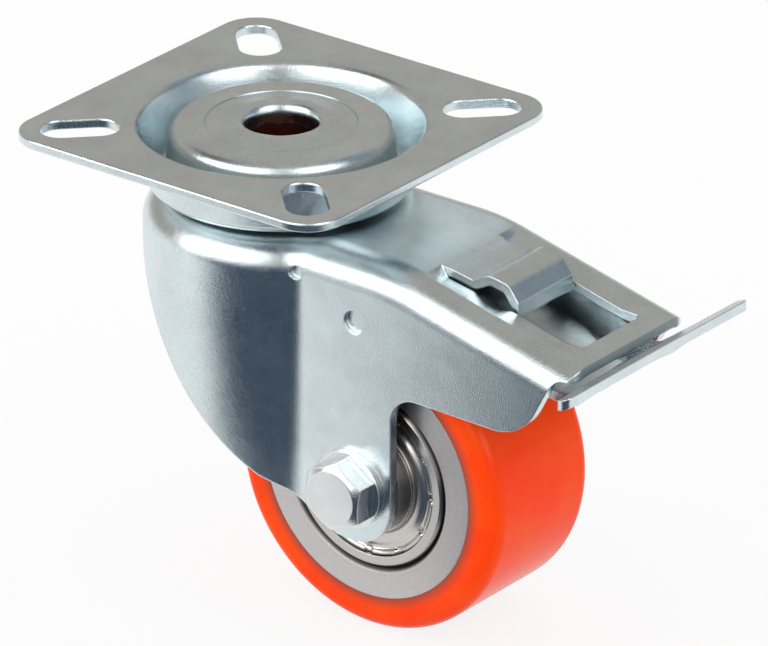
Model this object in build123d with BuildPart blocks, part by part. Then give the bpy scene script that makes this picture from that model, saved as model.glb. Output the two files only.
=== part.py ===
from build123d import *
import os
from math import atan, atan2, cos, degrees, radians, sin, sqrt, tan

os.makedirs("parts", exist_ok=True)

# Frame: the origin is the centre of the plate's mounting face, on the swivel axis, with +Z up.
# The fork trails towards +X, the axle lies along Y, and its bolt head is on the -Y side, called left.

# Overall sizes
overall_height = 118.6
wheel_diameter = 80.0
wheel_width = 38.0
trail = 41.0

# Top plate
plate_length = 97.0
plate_width = 97.0
plate_sheet = 2.5
plate_corner_radius = 10.0
plate_edge_radius = 0.6
slot_edge_distance = 13.5
slot_width = 10.5
slot_length = 19.5
slot_edge_radius = 0.6
dish_rim_radius = 35.7
dish_channel_outer_radius = 30.7
dish_channel_inner_radius = 28.8
dish_depth = 14.5
dish_bend_radius = 0.9
dish_rim_bend_radius = 0.5
dome_radius = 27.4
dome_drop = 0.8
dome_bend_radius = 1.2
head_seat_radius = 18.8
head_seat_depth = 1.2

# Kingpin, a hollow rivet on the swivel axis
kingpin_radius = 12.4
kingpin_bore_radius = 9.0
kingpin_head_edge = 1.0
kingpin_lip_radius = 11.6
kingpin_lip_drop = 0.1
kingpin_lip_depth = 3.0
kingpin_dome_width = 2.2
kingpin_dome_drop = 0.4
kingpin_flare_radius = 15.4
kingpin_flare_height = 1.8
kingpin_fit = 0.05

# Swivel bearing
swivel_ball_diameter = 6.35
swivel_ball_clearance = 0.05
upper_pitch_radius = 22.0
upper_ball_count = 20
lower_pitch_radius = 17.0
lower_ball_count = 15
race_sheet = 2.3
race_lip_width = 1.0
race_lip_height = 2.5
race_ball_gap = 0.28
crown_hole_radius = 13.4

# Ring whose notches lock the swivel
lock_ring_radius = 24.0
lock_ring_thickness = 2.3
lock_notch_count = 16
lock_notch_width = 4.4
lock_notch_depth = 5.2

# Fork
fork_sheet = 2.5
crown_gap = 1.0
crown_radius = 34.2
crown_boss_radius = 24.4
crown_boss_bend_radius = 0.8
crown_flat = 1.8
crown_lap = 0.6
cheek_spread = 50.0
cheek_blend_radius = 8.0
roof_kink_from_axle = 11.2
roof_kink_radius = 60.0
roof_slope = 0.237
roof_end_from_axle = 65.0
leg_half_width = 12.0
leg_drop = 14.2
leg_corner_radius = 11.5
leg_front_radius = 14.0
leg_front_run = 20.0
notch_rise = 28.2
notch_radius = 7.5
skirt_rise = 27.6
skirt_tail_from_axle = 51.4
skirt_tail_radius = 14.0
tail_corner_from_axle = 60.7
tail_corner_drop = 0.6
tail_corner_radius = 3.0
tail_plan_radius = 6.0
front_edge_from_axle = 25.0
front_edge_drop = 2.0
front_edge_bulge = 3.2
front_lip_radius = 27.5
front_lip_height = 10.2
axle_hole_clearance = 0.1

# Window and raised tab in the fork's roof
window_front_from_axle = 18.7
window_back_from_axle = 59.7
window_width = 23.4
window_corner_radius = 1.2
tab_width = 21.8
tab_root_length = 0.8
tab_root_sink = 0.05
tab_step_start = 26.0
tab_step_end = 30.9
tab_fall_start = 36.8
tab_end = 39.8
tab_front_rise = 0.4
tab_rise = 4.5
tab_end_rise = 1.2
tab_ridge_slope = 0.4
tab_bend_radius = 0.4
strip_drop_front = 2.4
strip_drop_back = 1.2
strip_from_cheek = 6.5
strip_ramp = 1.6
strip_fade = 6.0
strip_margin = 0.02
strip_cover = 0.3

# Dimples in the cheeks: the large one is the brake lever's pivot
pivot_from_axle = 1.0
pivot_drop = 16.3
pivot_radius = 3.0
pivot_reach = 2.5
pivot_fit = 0.05
dimple_radius = 3.1
dimple_depth = 1.3
mark_from_axle = -16.8
mark_drop = 7.9
mark_radius = 1.7
mark_depth = 0.7

# Axle, bolted between the cheeks
bolt_diameter = 10.0
bolt_end_length = 2.5
bolt_end_chamfer = 1.0
hex_across_flats = 16.0
bolt_head_height = 6.4
hex_chamfer_angle = 30.0
bolt_face_radius = 7.0
hex_turn = 35.0
washer_radius = 10.0
washer_thickness = 2.0
nut_height = 8.0
nut_collar_height = 2.4
nut_collar_wall = 1.3
nut_collar_step = 0.6
nut_insert_recess = 0.35
tube_bore_clearance = 0.1
bush_radius = 13.0

# Wheel bearings
bearing_bore = 20.0
bearing_diameter = 47.0
bearing_width = 14.0
bearing_face_recess = 0.0
outer_ring_wall = 3.2
inner_ring_wall = 3.9
bearing_edge_chamfer = 1.0
bearing_ball_diameter = 7.94
bearing_ball_count = 8
bearing_ball_clearance = 0.1
cage_wall = 1.7
cage_width = 10.0
cage_pocket_clearance = 0.15
shield_thickness = 0.5
shield_recess = 0.4
shield_gap = 0.4

# Wheel
tyre_thickness = 8.8
hub_shoulder = 2.0
hub_chamfer = 0.9
tyre_edge_radius = 3.6

# Brake lever with its pedal
lever_sheet = 2.5
lever_cheek_gap = 0.5
lever_ear_wall = 2.3
lever_ear_radius = 5.2
lever_ear_front = -8.0
lever_ear_back = 16.0
lever_ear_back_drop = 1.2
lever_front_from_axle = -14.0
lever_front_half_width = 16.0
lever_front_crease = 1.0
lever_front_rise = 9.3
lever_back_rise = 8.7
lever_back_from_axle = 11.0
lever_back_crease = 6.0
pedal_half_width = 37.0
pedal_neck_half_width = 19.0
pedal_taper = 7.0
pedal_sheet = 2.6
pedal_corner_radius = 1.6
web_crown = 0.3
tongue_tip_from_axle = -21.0
tongue_width = 3.4
tongue_rise = 9.9
brake_swing = 7.5

# Brake shoe, a spring strip riveted under the lever
shoe_sheet = 2.0
shoe_width = 24.0
shoe_tread_gap = 0.35
shoe_start_angle = 27.0
shoe_end_angle = 45.0
shoe_stem_lap = 3.0
shoe_flange_front = 11.5
shoe_flange_back = 21.0
shoe_bend_radius = 1.0
rivet_radius = 2.0
rivet_head_radius = 3.2
rivet_head_height = 1.1
rivet_from_axle = 15.2
rivet_spacing = 14.0

# Worked out: heights of the swivel head, from the top face down
swivel_ball_radius = swivel_ball_diameter / 2
dome_top = -dome_drop
dome_underside = dome_top - plate_sheet
head_seat = dome_top - head_seat_depth
upper_ball_height = dome_underside - swivel_ball_clearance - swivel_ball_radius
boss_top = upper_ball_height - swivel_ball_radius - swivel_ball_clearance
boss_underside = boss_top - fork_sheet
lower_ball_height = boss_underside - swivel_ball_clearance - swivel_ball_radius
race_top = lower_ball_height - swivel_ball_radius - swivel_ball_clearance
race_underside = race_top - race_sheet
lock_ring_underside = race_underside - lock_ring_thickness
kingpin_foot = lock_ring_underside - kingpin_flare_height
crown_top = -dish_depth - plate_sheet - crown_gap

# Worked out: the axle and the cheeks
axle_x = trail
axle_z = wheel_diameter / 2 - overall_height
cheek_face = cheek_spread / 2
cheek_inside = cheek_face - fork_sheet
fold_radius = crown_radius - crown_boss_radius - crown_flat
hub_face = wheel_width / 2
hub_radius = wheel_diameter / 2 - tyre_thickness
bolt_radius = bolt_diameter / 2
axle_hole_radius = bolt_radius + axle_hole_clearance
tube_bore_radius = bolt_radius + tube_bore_clearance
roof_kink_x = axle_x + roof_kink_from_axle
roof_end_x = axle_x + roof_end_from_axle
pivot_x = axle_x + pivot_from_axle
pivot_z = crown_top - pivot_drop

# Axes and planes that several pieces share
swivel_section = Plane.XZ
axle_axis = Axis((axle_x, 0, axle_z), (0, 1, 0))
axle_section = Plane(origin=(axle_x, 0, axle_z), x_dir=(0, 1, 0), z_dir=(1, 0, 0))
axle_cross = Plane(origin=(axle_x, 0, axle_z), x_dir=(1, 0, 0), z_dir=(0, 1, 0))


def roof_height(x):
    """Height of the roof's upper face above the given distance from the swivel axis."""
    return crown_top - roof_slope * max(0.0, x - roof_kink_x)


def strip_outline(side, drop, margin):
    """Corners, across the roof, of the wedge that lies over a pressed-down strip."""
    outer = side * strip_outside
    inner = side * strip_inside
    return [(outer, -margin), (inner, -margin - drop), (inner, strip_cover), (outer, strip_cover)]


def sheet_outlines(path, thickness, bends):
    """Both faces of a bent sheet that lies to the right of its path, with the radius at each bend."""
    headings = [
        (Vector(b) - Vector(a)).normalized() for a, b in zip(path[:-1], path[1:])
    ]
    normals = [Vector(h.Y, -h.X) for h in headings]
    normals = [normals[0], *normals, normals[-1]]
    lower = []
    for point, before, after in zip(path, normals[:-1], normals[1:]):
        miter = (before + after) * (thickness / (1 + before.dot(after)))
        lower.append(Vector(point) + miter)
    upper_radii, lower_radii = [], []
    for bend, before, after in zip(bends, headings[:-1], headings[1:]):
        turns_left = before.X * after.Y - before.Y * after.X > 0
        upper_radii.append(bend if turns_left else bend + thickness)
        lower_radii.append(bend + thickness if turns_left else bend)
    return [Vector(p) for p in path], lower, upper_radii, lower_radii


class SheetSection(BaseSketchObject):
    """Cross-section of a bent sheet, drawn from the path of one face."""

    def __init__(self, path, thickness, bends, mode=Mode.ADD):
        upper, lower, upper_radii, lower_radii = sheet_outlines(path, thickness, bends)
        with BuildSketch() as section:
            with BuildLine():
                FilletPolyline(*upper, radius=upper_radii)
                FilletPolyline(*lower, radius=lower_radii)
                Line(upper[0], lower[0])
                Line(upper[-1], lower[-1])
            make_face()
        super().__init__(obj=section.sketch, rotation=0, align=None, mode=mode)


def finish(piece, name):
    """Labels a finished piece and writes it as a STEP file."""
    piece.label = name
    export_step(piece, f"parts/{name}.step")


# Top plate: a square pressing with a deep ring channel round a raised dome
dish_path = [
    (kingpin_radius + kingpin_fit, dome_top),
    (dome_radius, dome_top),
    (dish_channel_inner_radius, -dish_depth),
    (dish_channel_outer_radius, -dish_depth),
    (dish_rim_radius, 0),
    (dish_rim_radius + 2 * plate_sheet, 0),
]
dish_bends = [dome_bend_radius, dish_bend_radius, dish_bend_radius, dish_rim_bend_radius]
plate_opening_radius = dish_rim_radius + 1.5 * plate_sheet
slot_spacing_x = plate_length - 2 * slot_edge_distance
slot_spacing_y = plate_width - 2 * slot_edge_distance
slot_angle = degrees(atan2(slot_spacing_y, slot_spacing_x))

with BuildPart() as top_plate:
    with BuildSketch(Plane.XY.offset(-plate_sheet)):
        RectangleRounded(plate_length, plate_width, plate_corner_radius)
        Circle(plate_opening_radius, mode=Mode.SUBTRACT)
    extrude(amount=plate_sheet)
    rim = top_plate.edges().filter_by(GeomType.LINE).filter_by(Axis.Z, reverse=True)
    corners = top_plate.edges().filter_by(
        lambda e: e.geom_type == GeomType.CIRCLE and e.radius == plate_corner_radius
    )
    fillet([*rim, *corners], radius=plate_edge_radius)
    with BuildSketch(swivel_section):
        SheetSection(dish_path, plate_sheet, dish_bends)
    revolve(axis=Axis.Z)
    with BuildSketch(Plane.XY.offset(dome_top)):
        Circle(head_seat_radius)
    extrude(amount=-head_seat_depth, mode=Mode.SUBTRACT)
    with BuildSketch(Plane.XY):
        for side_x in (-1, 1):
            for side_y in (-1, 1):
                centre = (side_x * slot_spacing_x / 2, side_y * slot_spacing_y / 2)
                with Locations(Location(centre, side_x * side_y * slot_angle)):
                    SlotOverall(slot_length, slot_width)
    extrude(amount=-plate_sheet, mode=Mode.SUBTRACT)
    slot_ends = top_plate.edges().filter_by(
        lambda e: e.geom_type == GeomType.CIRCLE and abs(e.radius - slot_width / 2) < 0.01
    )
    slot_rims = slot_ends.group_by(Axis.Z)[-1]
    fillet(slot_rims, radius=slot_edge_radius)

finish(top_plate.part, "top_plate")

# Kingpin: a hollow rivet with a flat domed head, flared under the lock ring
kingpin_bore_top = -kingpin_lip_drop - kingpin_lip_depth
with BuildPart() as kingpin:
    with BuildSketch(swivel_section):
        with BuildLine():
            Polyline(
                (kingpin_bore_radius, kingpin_foot),
                (kingpin_flare_radius, kingpin_foot),
                (kingpin_flare_radius, lock_ring_underside),
                (kingpin_radius, lock_ring_underside),
                (kingpin_radius, head_seat),
                (head_seat_radius - kingpin_fit, head_seat),
                (head_seat_radius - kingpin_fit, -kingpin_head_edge),
            )
            Spline(
                (head_seat_radius - kingpin_fit, -kingpin_head_edge),
                (kingpin_lip_radius + kingpin_dome_width, -kingpin_lip_drop - kingpin_dome_drop),
                (kingpin_lip_radius, -kingpin_lip_drop),
                tangents=[(-1, 0), (-1, 0)],
            )
            Spline(
                (kingpin_lip_radius, -kingpin_lip_drop),
                (kingpin_bore_radius, kingpin_bore_top),
                tangents=[(-1, 0), (0, -1)],
            )
            Line((kingpin_bore_radius, kingpin_bore_top), (kingpin_bore_radius, kingpin_foot))
        make_face()
    revolve(axis=Axis.Z)
    foot_edges = kingpin.edges().filter_by(GeomType.CIRCLE).group_by(Axis.Z)[0]
    chamfer(foot_edges, length=kingpin_flare_height / 2)

finish(kingpin.part, "kingpin")

# Two rows of loose swivel balls
for row, pitch_radius, count, height in (
    ("upper_balls", upper_pitch_radius, upper_ball_count, upper_ball_height),
    ("lower_balls", lower_pitch_radius, lower_ball_count, lower_ball_height),
):
    with BuildPart() as ball_row:
        with Locations(Location((0, 0, height))):
            with PolarLocations(pitch_radius, count):
                Sphere(swivel_ball_radius)
    finish(ball_row.part, row)

# Lower race: a cupped ring held on the kingpin
race_lip_inside = lower_pitch_radius + swivel_ball_radius + race_ball_gap
race_lip_outside = race_lip_inside + race_lip_width
with BuildPart() as lower_race:
    with BuildSketch(swivel_section):
        Polygon(
            (kingpin_radius, race_underside),
            (race_lip_outside, race_underside),
            (race_lip_outside, race_top + race_lip_height),
            (race_lip_inside, race_top + race_lip_height),
            (race_lip_inside, race_top),
            (kingpin_radius, race_top),
            align=None,
        )
    revolve(axis=Axis.Z)

finish(lower_race.part, "lower_race")

# Lock ring: a disc with open notches that the brake lever's tongue enters
with BuildPart() as lock_ring:
    with BuildSketch(Plane.XY.offset(lock_ring_underside)):
        Circle(lock_ring_radius)
        Circle(kingpin_radius, mode=Mode.SUBTRACT)
        with PolarLocations(lock_ring_radius, lock_notch_count):
            Rectangle(2 * lock_notch_depth, lock_notch_width, mode=Mode.SUBTRACT)
    extrude(amount=lock_ring_thickness)

finish(lock_ring.part, "lock_ring")


# Fork: one pressing with a round crown, two cheeks and a sloping roof
def fork_form(inset, tail_x):
    """The solid that the fork's skin wraps, set in from its outer faces by the given amount."""
    radius = crown_radius - inset
    half_spread = cheek_face - inset
    low = axle_z - leg_drop - fork_sheet
    front_x = -crown_radius - fork_sheet
    high = crown_top - inset
    with BuildPart() as form:
        with BuildSketch(Plane.XY.offset(low)) as plan:
            Circle(radius)
            with Locations((tail_x / 2, 0)):
                Rectangle(tail_x, 2 * half_spread)
            throat_x = sqrt(radius**2 - half_spread**2)
            throat = plan.vertices().filter_by_position(
                Axis.X, throat_x - 0.1, throat_x + 0.1
            )
            fillet(throat, radius=cheek_blend_radius + inset)
        extrude(amount=-low)
        with BuildSketch(swivel_section):
            with BuildLine():
                FilletPolyline(
                    (front_x, high),
                    (roof_kink_x, high),
                    (tail_x, high - roof_slope * (tail_x - roof_kink_x)),
                    radius=roof_kink_radius,
                )
                Polyline(
                    (tail_x, high - roof_slope * (tail_x - roof_kink_x)),
                    (tail_x, low),
                    (front_x, low),
                    (front_x, high),
                )
            make_face()
        extrude(amount=crown_radius + cheek_face, both=True, mode=Mode.INTERSECT)
        roof_edges = form.edges().filter_by(
            lambda e: e.center().Z > roof_height(tail_x) - inset - 1 and abs(e.center().Y) > 1
        )
        roof_edges = roof_edges.filter_by(Axis.Z, reverse=True)
        rims = [e for e in roof_edges if e.bounding_box().max.X - e.bounding_box().min.X > 0.5]
        fillet(rims, radius=fold_radius - inset)
    return form.part


leg_foot = axle_z - leg_drop
leg_back = axle_x + leg_half_width
front_edge_foot = (axle_x - front_edge_from_axle, axle_z - front_edge_drop)
front_lip = (-front_lip_radius, crown_top - front_lip_height)
leg_front = (front_edge_foot[0] + leg_front_run, leg_foot)
front_chord = Vector(front_lip) - Vector(front_edge_foot)
front_middle = (Vector(front_edge_foot) + Vector(front_lip)) / 2
front_bulge = front_middle + Vector(front_chord.Y, -front_chord.X).normalized() * -front_edge_bulge
roof_end_foot = (roof_end_x + fork_sheet, roof_height(roof_end_x) - fork_sheet - tail_corner_drop)
tail_corner = (axle_x + tail_corner_from_axle, roof_end_foot[1] + tail_corner_drop)

boss_path = [
    (crown_hole_radius, boss_top),
    (crown_boss_radius, boss_top),
    (crown_boss_radius, crown_top),
    (crown_boss_radius + (1 + crown_lap) / 2 * crown_flat, crown_top),
]
window_front_x = axle_x + window_front_from_axle
window_back_x = axle_x + window_back_from_axle
tab_end_x = axle_x + tab_end
tab_fall_slope = (tab_rise - tab_end_rise) / (tab_end - tab_fall_start)
tab_path = [
    (window_front_x - tab_root_length, -tab_root_sink),
    (axle_x + tab_step_start, tab_front_rise),
    (axle_x + tab_step_end, tab_rise - tab_ridge_slope),
    (axle_x + tab_fall_start, tab_rise),
    (tab_end_x + fork_sheet, tab_end_rise - tab_fall_slope * fork_sheet),
]
tab_path = [(x, roof_height(x) + rise) for x, rise in tab_path]

# The roof's strips beside the window, pressed down along its edge, deepest at the tab's front
strip_inside = (window_width + tab_width) / 4
strip_outside = cheek_face - strip_from_cheek
strip_stations = [
    (window_front_x - strip_ramp, 0.0),
    (window_front_x, strip_drop_front),
    ((window_front_x + window_back_x) / 2, strip_drop_back),
    (window_back_x - strip_fade, strip_drop_back),
    (window_back_x, 0.0),
]

fork_outer = fork_form(0, roof_end_x)
fork_inner = fork_form(fork_sheet, roof_end_x + 3 * fork_sheet)

with BuildPart() as fork:
    add(fork_outer)
    add(fork_inner, mode=Mode.SUBTRACT)
    with BuildSketch(Plane.XY.offset(crown_top + fork_sheet)):
        Circle(crown_boss_radius + crown_lap * crown_flat)
    extrude(amount=-3 * fork_sheet, mode=Mode.SUBTRACT)
    with BuildSketch(swivel_section):
        SheetSection(boss_path, fork_sheet, [crown_boss_bend_radius] * 2)
    revolve(axis=Axis.Z)
    # The cheeks' outline, seen from the side
    with BuildSketch(swivel_section):
        with BuildLine():
            ThreePointArc(front_lip, front_bulge, front_edge_foot)
            FilletPolyline(
                front_edge_foot,
                leg_front,
                (leg_back, leg_foot),
                (leg_back, axle_z + notch_rise),
                (axle_x + skirt_tail_from_axle, axle_z + skirt_rise),
                tail_corner,
                roof_end_foot,
                radius=[
                    leg_front_radius,
                    leg_corner_radius,
                    notch_radius,
                    skirt_tail_radius,
                    tail_corner_radius,
                ],
            )
            Polyline(
                roof_end_foot,
                (roof_end_foot[0], 0),
                (-crown_radius - fork_sheet, 0),
                (-crown_radius - fork_sheet, front_lip[1]),
                front_lip,
            )
        make_face()
    extrude(amount=crown_radius + cheek_face, both=True, mode=Mode.INTERSECT)
    # The roof's rear corners, rounded in plan
    with BuildSketch(Plane.XY) as plan_trim:
        with Locations((roof_end_x / 2, 0)):
            Rectangle(roof_end_x, cheek_spread)
        fillet(plan_trim.vertices().group_by(Axis.X)[-1], radius=tail_plan_radius)
        with Locations((-crown_radius, 0)):
            Rectangle(4 * crown_radius, 4 * crown_radius)
    extrude(amount=leg_foot - fork_sheet, mode=Mode.INTERSECT)
    # Pressed-down strips: a wedge is put under the roof and the same wedge taken off its top
    for side in (-1, 1):
        for level, mode in ((-fork_sheet, Mode.ADD), (0, Mode.SUBTRACT)):
            for x, drop in strip_stations:
                station = Plane(
                    origin=(x, 0, roof_height(x) + level), x_dir=(0, 1, 0), z_dir=(1, 0, 0)
                )
                with BuildSketch(station):
                    with BuildLine():
                        Polyline(strip_outline(side, drop, strip_margin), close=True)
                    make_face()
            loft(ruled=True, mode=mode)
    # Window in the roof, with the raised tab at its front
    with BuildSketch(Plane.XY):
        with Locations(((window_front_x + window_back_x) / 2, 0)):
            RectangleRounded(window_back_x - window_front_x, window_width, window_corner_radius)
    extrude(amount=roof_height(roof_end_x) - 2 * fork_sheet, mode=Mode.SUBTRACT)
    with BuildSketch(swivel_section):
        SheetSection(tab_path, fork_sheet, [tab_bend_radius] * 3)
        with Locations((tab_end_x, tab_path[-1][1])):
            Rectangle(
                4 * fork_sheet, 8 * fork_sheet, align=(Align.MIN, Align.CENTER), mode=Mode.SUBTRACT
            )
    extrude(amount=tab_width / 2, both=True)
    # Axle holes, pivot dimples and marks in both cheeks
    with BuildSketch(axle_cross.offset(-cheek_face)):
        Circle(axle_hole_radius)
    extrude(amount=cheek_spread, mode=Mode.SUBTRACT)
    for side in (-1, 1):
        nub_plane = Plane(
            origin=(pivot_x, side * cheek_inside, pivot_z), x_dir=(1, 0, 0), z_dir=(0, -side, 0)
        )
        with BuildSketch(nub_plane):
            Circle(pivot_radius)
        extrude(amount=pivot_reach)
        with BuildSketch(nub_plane.offset(-fork_sheet)):
            Circle(dimple_radius)
        extrude(amount=dimple_depth, mode=Mode.SUBTRACT)
        mark_plane = Plane(
            origin=(
                axle_x + mark_from_axle,
                side * (cheek_face + mark_radius),
                crown_top - mark_drop,
            ),
            x_dir=(1, 0, 0),
            z_dir=(0, -side, 0),
        )
        with BuildSketch(mark_plane):
            Circle(mark_radius)
        extrude(amount=mark_radius + mark_depth, mode=Mode.SUBTRACT)

finish(fork.part, "fork")

# Axle: hexagon bolt, washers, lock nut, tube, spacer and bushes
hex_radius = hex_across_flats / sqrt(3)
hex_bevel = (hex_radius - hex_across_flats / 2) * tan(radians(hex_chamfer_angle))
bolt_bevel = (hex_radius - bolt_face_radius) * tan(radians(hex_chamfer_angle))
head_under = cheek_face + washer_thickness
head_top = head_under + bolt_head_height
nut_top = head_under + nut_height
collar_top = nut_top + nut_collar_height
bolt_end = collar_top + bolt_end_length

with BuildPart() as axle_bolt:
    with BuildSketch(axle_cross.offset(-head_top)):
        RegularPolygon(hex_radius, 6, rotation=hex_turn)
    extrude(amount=bolt_head_height)
    with BuildSketch(axle_section):
        Polygon(
            (-head_top, 0),
            (-head_top, bolt_face_radius),
            (-head_top + bolt_bevel, hex_radius),
            (-head_under, hex_radius),
            (-head_under, 0),
            align=None,
        )
    revolve(axis=axle_axis, mode=Mode.INTERSECT)
    with BuildSketch(axle_cross.offset(-head_under)):
        Circle(bolt_radius)
    extrude(amount=head_under + bolt_end)
    bolt_tip = axle_bolt.edges().group_by(Axis.Y)[-1]
    chamfer(bolt_tip, length=bolt_end_chamfer)

finish(axle_bolt.part, "axle_bolt")

for name, side in (("washer_left", -1), ("washer_right", 1)):
    with BuildPart() as washer:
        with BuildSketch(axle_cross.offset(side * cheek_face)):
            Circle(washer_radius)
            Circle(axle_hole_radius, mode=Mode.SUBTRACT)
        extrude(amount=side * washer_thickness)
    finish(washer.part, name)

collar_radius = hex_across_flats / 2 - nut_collar_step
insert_outside = collar_radius - nut_collar_wall
with BuildPart() as lock_nut:
    with BuildSketch(axle_cross.offset(head_under)):
        RegularPolygon(hex_radius, 6, rotation=hex_turn)
    extrude(amount=nut_height)
    with BuildSketch(axle_section):
        Polygon(
            (head_under, 0),
            (head_under, hex_across_flats / 2),
            (head_under + hex_bevel, hex_radius),
            (nut_top - hex_bevel, hex_radius),
            (nut_top, hex_across_flats / 2),
            (nut_top, 0),
            align=None,
        )
    revolve(axis=axle_axis, mode=Mode.INTERSECT)
    with BuildSketch(axle_cross.offset(nut_top)):
        Circle(collar_radius)
    extrude(amount=nut_collar_height)
    with BuildSketch(axle_cross.offset(nut_top)):
        Circle(insert_outside)
    extrude(amount=nut_collar_height, mode=Mode.SUBTRACT)
    with BuildSketch(axle_cross.offset(head_under)):
        Circle(bolt_radius)
    extrude(amount=nut_height, mode=Mode.SUBTRACT)

finish(lock_nut.part, "lock_nut")

with BuildPart() as nut_insert:
    with BuildSketch(axle_cross.offset(nut_top)):
        Circle(insert_outside)
        Circle(bolt_radius, mode=Mode.SUBTRACT)
    extrude(amount=nut_collar_height - nut_insert_recess)

finish(nut_insert.part, "nut_insert")

bore_radius = bearing_bore / 2
bearing_outside = hub_face - bearing_face_recess
bearing_inside = bearing_outside - bearing_width
inner_ring_radius = bore_radius + inner_ring_wall
with BuildPart() as axle_tube:
    with BuildSketch(axle_cross.offset(-bearing_outside)):
        Circle(bore_radius)
        Circle(tube_bore_radius, mode=Mode.SUBTRACT)
    extrude(amount=2 * bearing_outside)

finish(axle_tube.part, "axle_tube")

with BuildPart() as ring_spacer:
    with BuildSketch(axle_cross.offset(-bearing_inside)):
        Circle(inner_ring_radius)
        Circle(bore_radius, mode=Mode.SUBTRACT)
    extrude(amount=2 * bearing_inside)

finish(ring_spacer.part, "ring_spacer")

for name, side in (("bush_left", -1), ("bush_right", 1)):
    with BuildPart() as bush:
        with BuildSketch(axle_cross.offset(side * bearing_outside)):
            Circle(bush_radius)
            Circle(tube_bore_radius, mode=Mode.SUBTRACT)
        extrude(amount=side * (cheek_inside - bearing_outside))
    finish(bush.part, name)

# Two deep-groove ball bearings, each with its rings, balls, cage and pair of shields
outer_ring_radius = bearing_diameter / 2
outer_ring_bore = outer_ring_radius - outer_ring_wall
ball_pitch_radius = (outer_ring_bore + inner_ring_radius) / 2
bearing_ball_radius = bearing_ball_diameter / 2
groove_radius = bearing_ball_radius + bearing_ball_clearance
pocket_radius = bearing_ball_radius + cage_pocket_clearance
shield_outside = bearing_width / 2 - shield_recess

for side_name, side in (("left", -1), ("right", 1)):
    middle = side * (bearing_outside - bearing_width / 2)
    face_low = middle - bearing_width / 2
    face_high = middle + bearing_width / 2
    bearing_cross = axle_cross.offset(middle)

    with BuildPart() as outer_ring:
        with BuildSketch(axle_section):
            Polygon(
                (face_low, outer_ring_bore),
                (face_low, outer_ring_radius - bearing_edge_chamfer),
                (face_low + bearing_edge_chamfer, outer_ring_radius),
                (face_high - bearing_edge_chamfer, outer_ring_radius),
                (face_high, outer_ring_radius - bearing_edge_chamfer),
                (face_high, outer_ring_bore),
                align=None,
            )
            with Locations((middle, ball_pitch_radius)):
                Circle(groove_radius, mode=Mode.SUBTRACT)
        revolve(axis=axle_axis)
    finish(outer_ring.part, f"outer_ring_{side_name}")

    with BuildPart() as inner_ring:
        with BuildSketch(axle_section):
            Polygon(
                (face_low, bore_radius + bearing_edge_chamfer),
                (face_low, inner_ring_radius),
                (face_high, inner_ring_radius),
                (face_high, bore_radius + bearing_edge_chamfer),
                (face_high - bearing_edge_chamfer, bore_radius),
                (face_low + bearing_edge_chamfer, bore_radius),
                align=None,
            )
            with Locations((middle, ball_pitch_radius)):
                Circle(groove_radius, mode=Mode.SUBTRACT)
        revolve(axis=axle_axis)
    finish(inner_ring.part, f"inner_ring_{side_name}")

    with BuildPart() as bearing_balls:
        with Locations(bearing_cross):
            with PolarLocations(ball_pitch_radius, bearing_ball_count):
                Sphere(bearing_ball_radius)
    finish(bearing_balls.part, f"bearing_balls_{side_name}")

    with BuildPart() as ball_cage:
        with BuildSketch(bearing_cross.offset(-cage_width / 2)):
            Circle(ball_pitch_radius + cage_wall / 2)
            Circle(ball_pitch_radius - cage_wall / 2, mode=Mode.SUBTRACT)
        extrude(amount=cage_width)
        with Locations(bearing_cross):
            with PolarLocations(ball_pitch_radius, bearing_ball_count):
                Cylinder(
                    pocket_radius, 4 * cage_wall, rotation=(0, 90, 0), mode=Mode.SUBTRACT
                )
    finish(ball_cage.part, f"ball_cage_{side_name}")

    with BuildPart() as shields:
        for face in (-1, 1):
            with BuildSketch(bearing_cross.offset(face * shield_outside)):
                Circle(outer_ring_bore)
                Circle(inner_ring_radius + shield_gap, mode=Mode.SUBTRACT)
            extrude(amount=-face * shield_thickness)
    finish(shields.part, f"shields_{side_name}")

# Wheel: a steel hub ring with a middle shoulder for the bearings, and the tyre moulded on it
with BuildPart() as hub:
    with BuildSketch(axle_section):
        Polygon(
            (-hub_face, hub_radius),
            (hub_face, hub_radius),
            (hub_face, outer_ring_radius + hub_chamfer),
            (hub_face - hub_chamfer, outer_ring_radius),
            (bearing_inside, outer_ring_radius),
            (bearing_inside, outer_ring_radius - hub_shoulder),
            (-bearing_inside, outer_ring_radius - hub_shoulder),
            (-bearing_inside, outer_ring_radius),
            (hub_chamfer - hub_face, outer_ring_radius),
            (-hub_face, outer_ring_radius + hub_chamfer),
            align=None,
        )
    revolve(axis=axle_axis)

finish(hub.part, "hub")

with BuildPart() as tyre:
    with BuildSketch(axle_cross.offset(-hub_face)):
        Circle(wheel_diameter / 2)
        Circle(hub_radius, mode=Mode.SUBTRACT)
    extrude(amount=wheel_width)
    tread_edges = tyre.edges().filter_by(
        lambda e: e.geom_type == GeomType.CIRCLE and abs(e.radius - wheel_diameter / 2) < 0.01
    )
    fillet(tread_edges, radius=tyre_edge_radius)

finish(tyre.part, "tyre")

# Brake lever: a folded pressing that swings on the cheeks' pivots and ends in the pedal
lever_side = cheek_inside - lever_cheek_gap
web_front = (axle_x + lever_front_from_axle, pivot_z + lever_front_rise)
web_back = (axle_x + lever_back_from_axle, pivot_z + lever_back_rise)
web_stations = [
    # distance from the axle, drop below the pivot, crease half width, half width, wing drop
    (27.0, -4.9, 15.0, lever_side, 1.0),
    (38.0, -1.3, 12.8, lever_side, 2.0),
    (58.0, 2.5, 0.8, pedal_neck_half_width, 2.0),
    (64.0, 2.3, 0.8, pedal_neck_half_width, 1.6),
    (67.6, -1.6, 0.8, pedal_half_width - pedal_taper, 0.8),
    (70.6, -3.4, 0.8, pedal_half_width - pedal_taper / 8, 0.3),
    (73.9, -4.6, 0.8, pedal_half_width, 0.2),
]


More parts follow.
